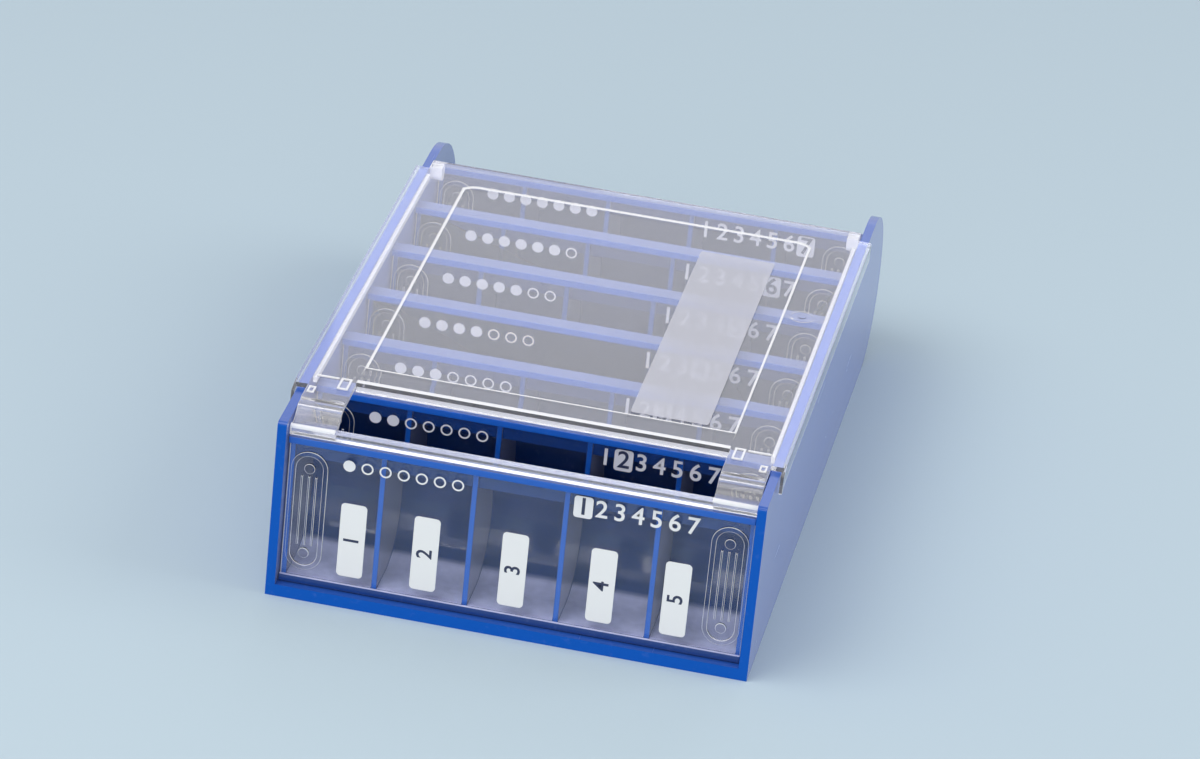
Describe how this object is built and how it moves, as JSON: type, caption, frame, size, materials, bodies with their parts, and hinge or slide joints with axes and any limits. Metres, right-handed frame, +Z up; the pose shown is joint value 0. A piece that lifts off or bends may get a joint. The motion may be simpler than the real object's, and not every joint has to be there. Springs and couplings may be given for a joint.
{
  "type": "weekly pill organizer",
  "caption": "Blue desktop housing with a row of upright day boxes, each divided into compartments behind a clear lid, under a clear hinged cover with a front window.",
  "frame": {"origin": "middle of the footprint, on the surface the housing stands on", "axes": "+Z up, X across the front, the front with the first day box looks along -Y, the rounded back along +Y"},
  "size_m": [0.117, 0.185, 0.0472],
  "materials": {
    "blue_shell": "gloss moulded polypropylene, saturated blue",
    "blue_tray": "gloss moulded, blue",
    "clear_cover": "clear moulded plastic with polished faces",
    "clear_lid": "clear moulded plastic",
    "write_on_film": "frosted translucent film"
  },
  "bodies": {
    "housing": {"housing": "blue_shell"},
    "cover": {"cover": "clear_cover", "write_on_field": "write_on_film"},
    "monday_box": {"monday_tray": "blue_tray", "monday_lid": "clear_lid"},
    "tuesday_box": {"tuesday_tray": "blue_tray", "tuesday_lid": "clear_lid"},
    "wednesday_box": {"wednesday_tray": "blue_tray", "wednesday_lid": "clear_lid"},
    "thursday_box": {"thursday_tray": "blue_tray", "thursday_lid": "clear_lid"},
    "friday_box": {"friday_tray": "blue_tray", "friday_lid": "clear_lid"},
    "saturday_box": {"saturday_tray": "blue_tray", "saturday_lid": "clear_lid"},
    "sunday_box": {"sunday_tray": "blue_tray", "sunday_lid": "clear_lid"}
  },
  "joints": [
    {"name": "cover_hinge", "type": "hinge", "parent": "housing", "child": "cover", "pos_m": [0, 0.056, 0.04355], "axis": [-1, 0, 0], "range_deg": [0, 100]},
    {"name": "monday_slide", "type": "slide", "parent": "housing", "child": "monday_box", "axis": [0, -1, 0], "range_m": [0, 0.0258]},
    {"name": "tuesday_slide", "type": "slide", "parent": "housing", "child": "tuesday_box", "axis": [0, -1, 0], "range_m": [0, 0.0258]},
    {"name": "wednesday_slide", "type": "slide", "parent": "housing", "child": "wednesday_box", "axis": [0, -1, 0], "range_m": [0, 0.0258]},
    {"name": "thursday_slide", "type": "slide", "parent": "housing", "child": "thursday_box", "axis": [0, -1, 0], "range_m": [0, 0.0258]},
    {"name": "friday_slide", "type": "slide", "parent": "housing", "child": "friday_box", "axis": [0, -1, 0], "range_m": [0, 0.0258]},
    {"name": "saturday_slide", "type": "slide", "parent": "housing", "child": "saturday_box", "axis": [0, -1, 0], "range_m": [0, 0.0258]},
    {"name": "sunday_slide", "type": "slide", "parent": "housing", "child": "sunday_box", "axis": [0, -1, 0], "range_m": [0, 0.0258]}
  ],
  "couplings": [
    {"joint": "tuesday_slide", "follows": "monday_slide", "ratio": 1},
    {"joint": "wednesday_slide", "follows": "monday_slide", "ratio": 1},
    {"joint": "thursday_slide", "follows": "monday_slide", "ratio": 1},
    {"joint": "friday_slide", "follows": "monday_slide", "ratio": 1},
    {"joint": "saturday_slide", "follows": "monday_slide", "ratio": 1},
    {"joint": "sunday_slide", "follows": "monday_slide", "ratio": 1}
  ]
}
